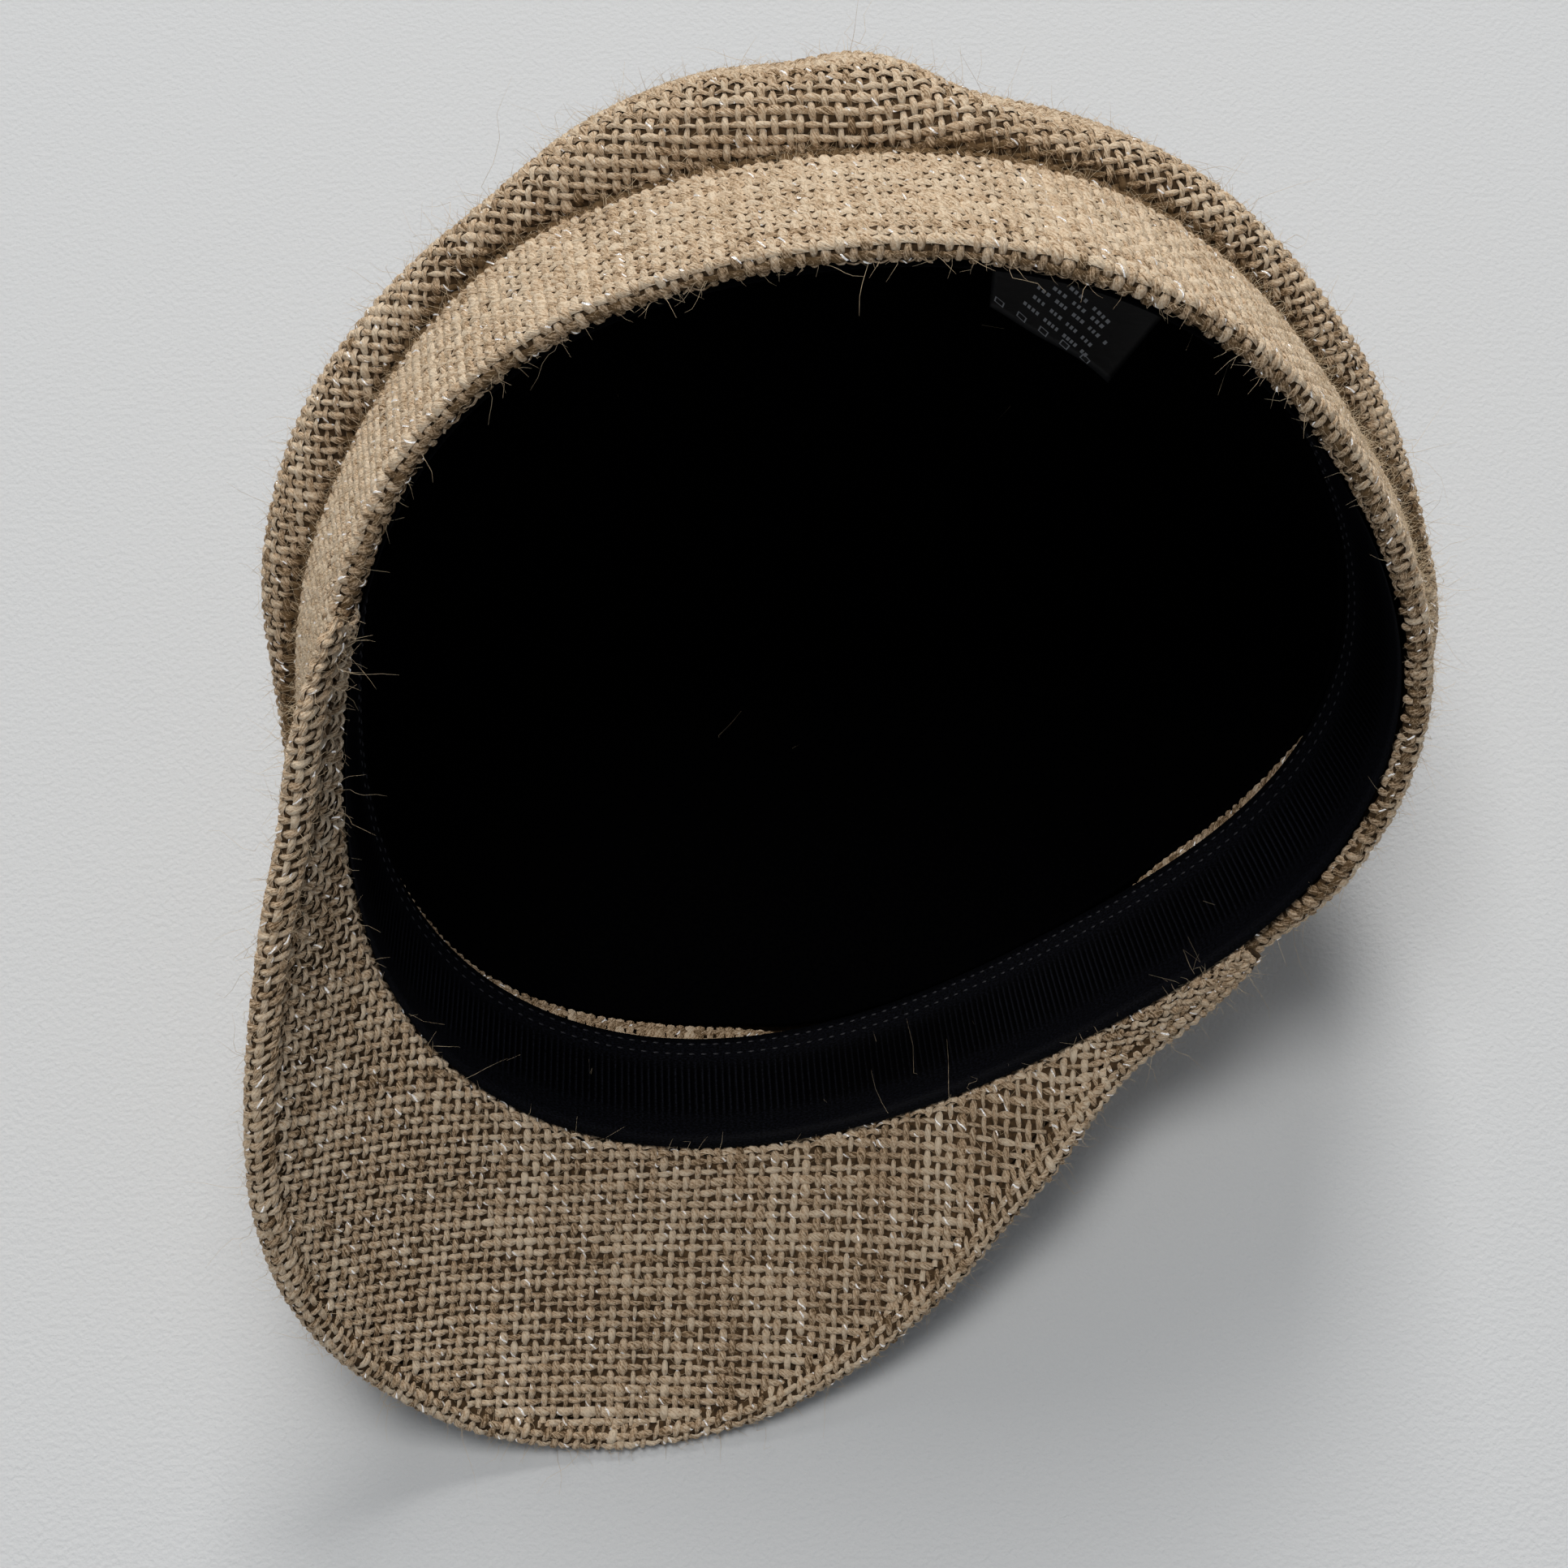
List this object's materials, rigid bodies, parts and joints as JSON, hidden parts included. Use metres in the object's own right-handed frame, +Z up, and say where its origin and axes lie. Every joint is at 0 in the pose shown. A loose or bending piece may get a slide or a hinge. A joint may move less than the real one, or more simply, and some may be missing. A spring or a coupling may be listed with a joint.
{
  "type": "peaked cap",
  "caption": "Soft peaked cap of coarse natural jute with a puffed crown, an upright band, a curved peak and a black lining, lying upside down.",
  "frame": {"origin": "on the table under the middle of the cap's bounding box, as it lies upside down", "axes": "+Z up from the table, +Y away from the viewer of the picture, the peak towards -X and -Y, the head opening facing up and towards -Y"},
  "size_m": [0.2068, 0.2204, 0.1738],
  "materials": {
    "jute": "coarse plain weave",
    "black_cloth": "matt",
    "satin": "satin"
  },
  "bodies": {
    "root": {"band": "jute", "crown_side": "jute", "crown_top": "jute", "peak_cover": "jute", "peak_underside": "jute", "sweatband": "black_cloth", "lining": "black_cloth", "label": "satin"}
  },
  "joints": []
}
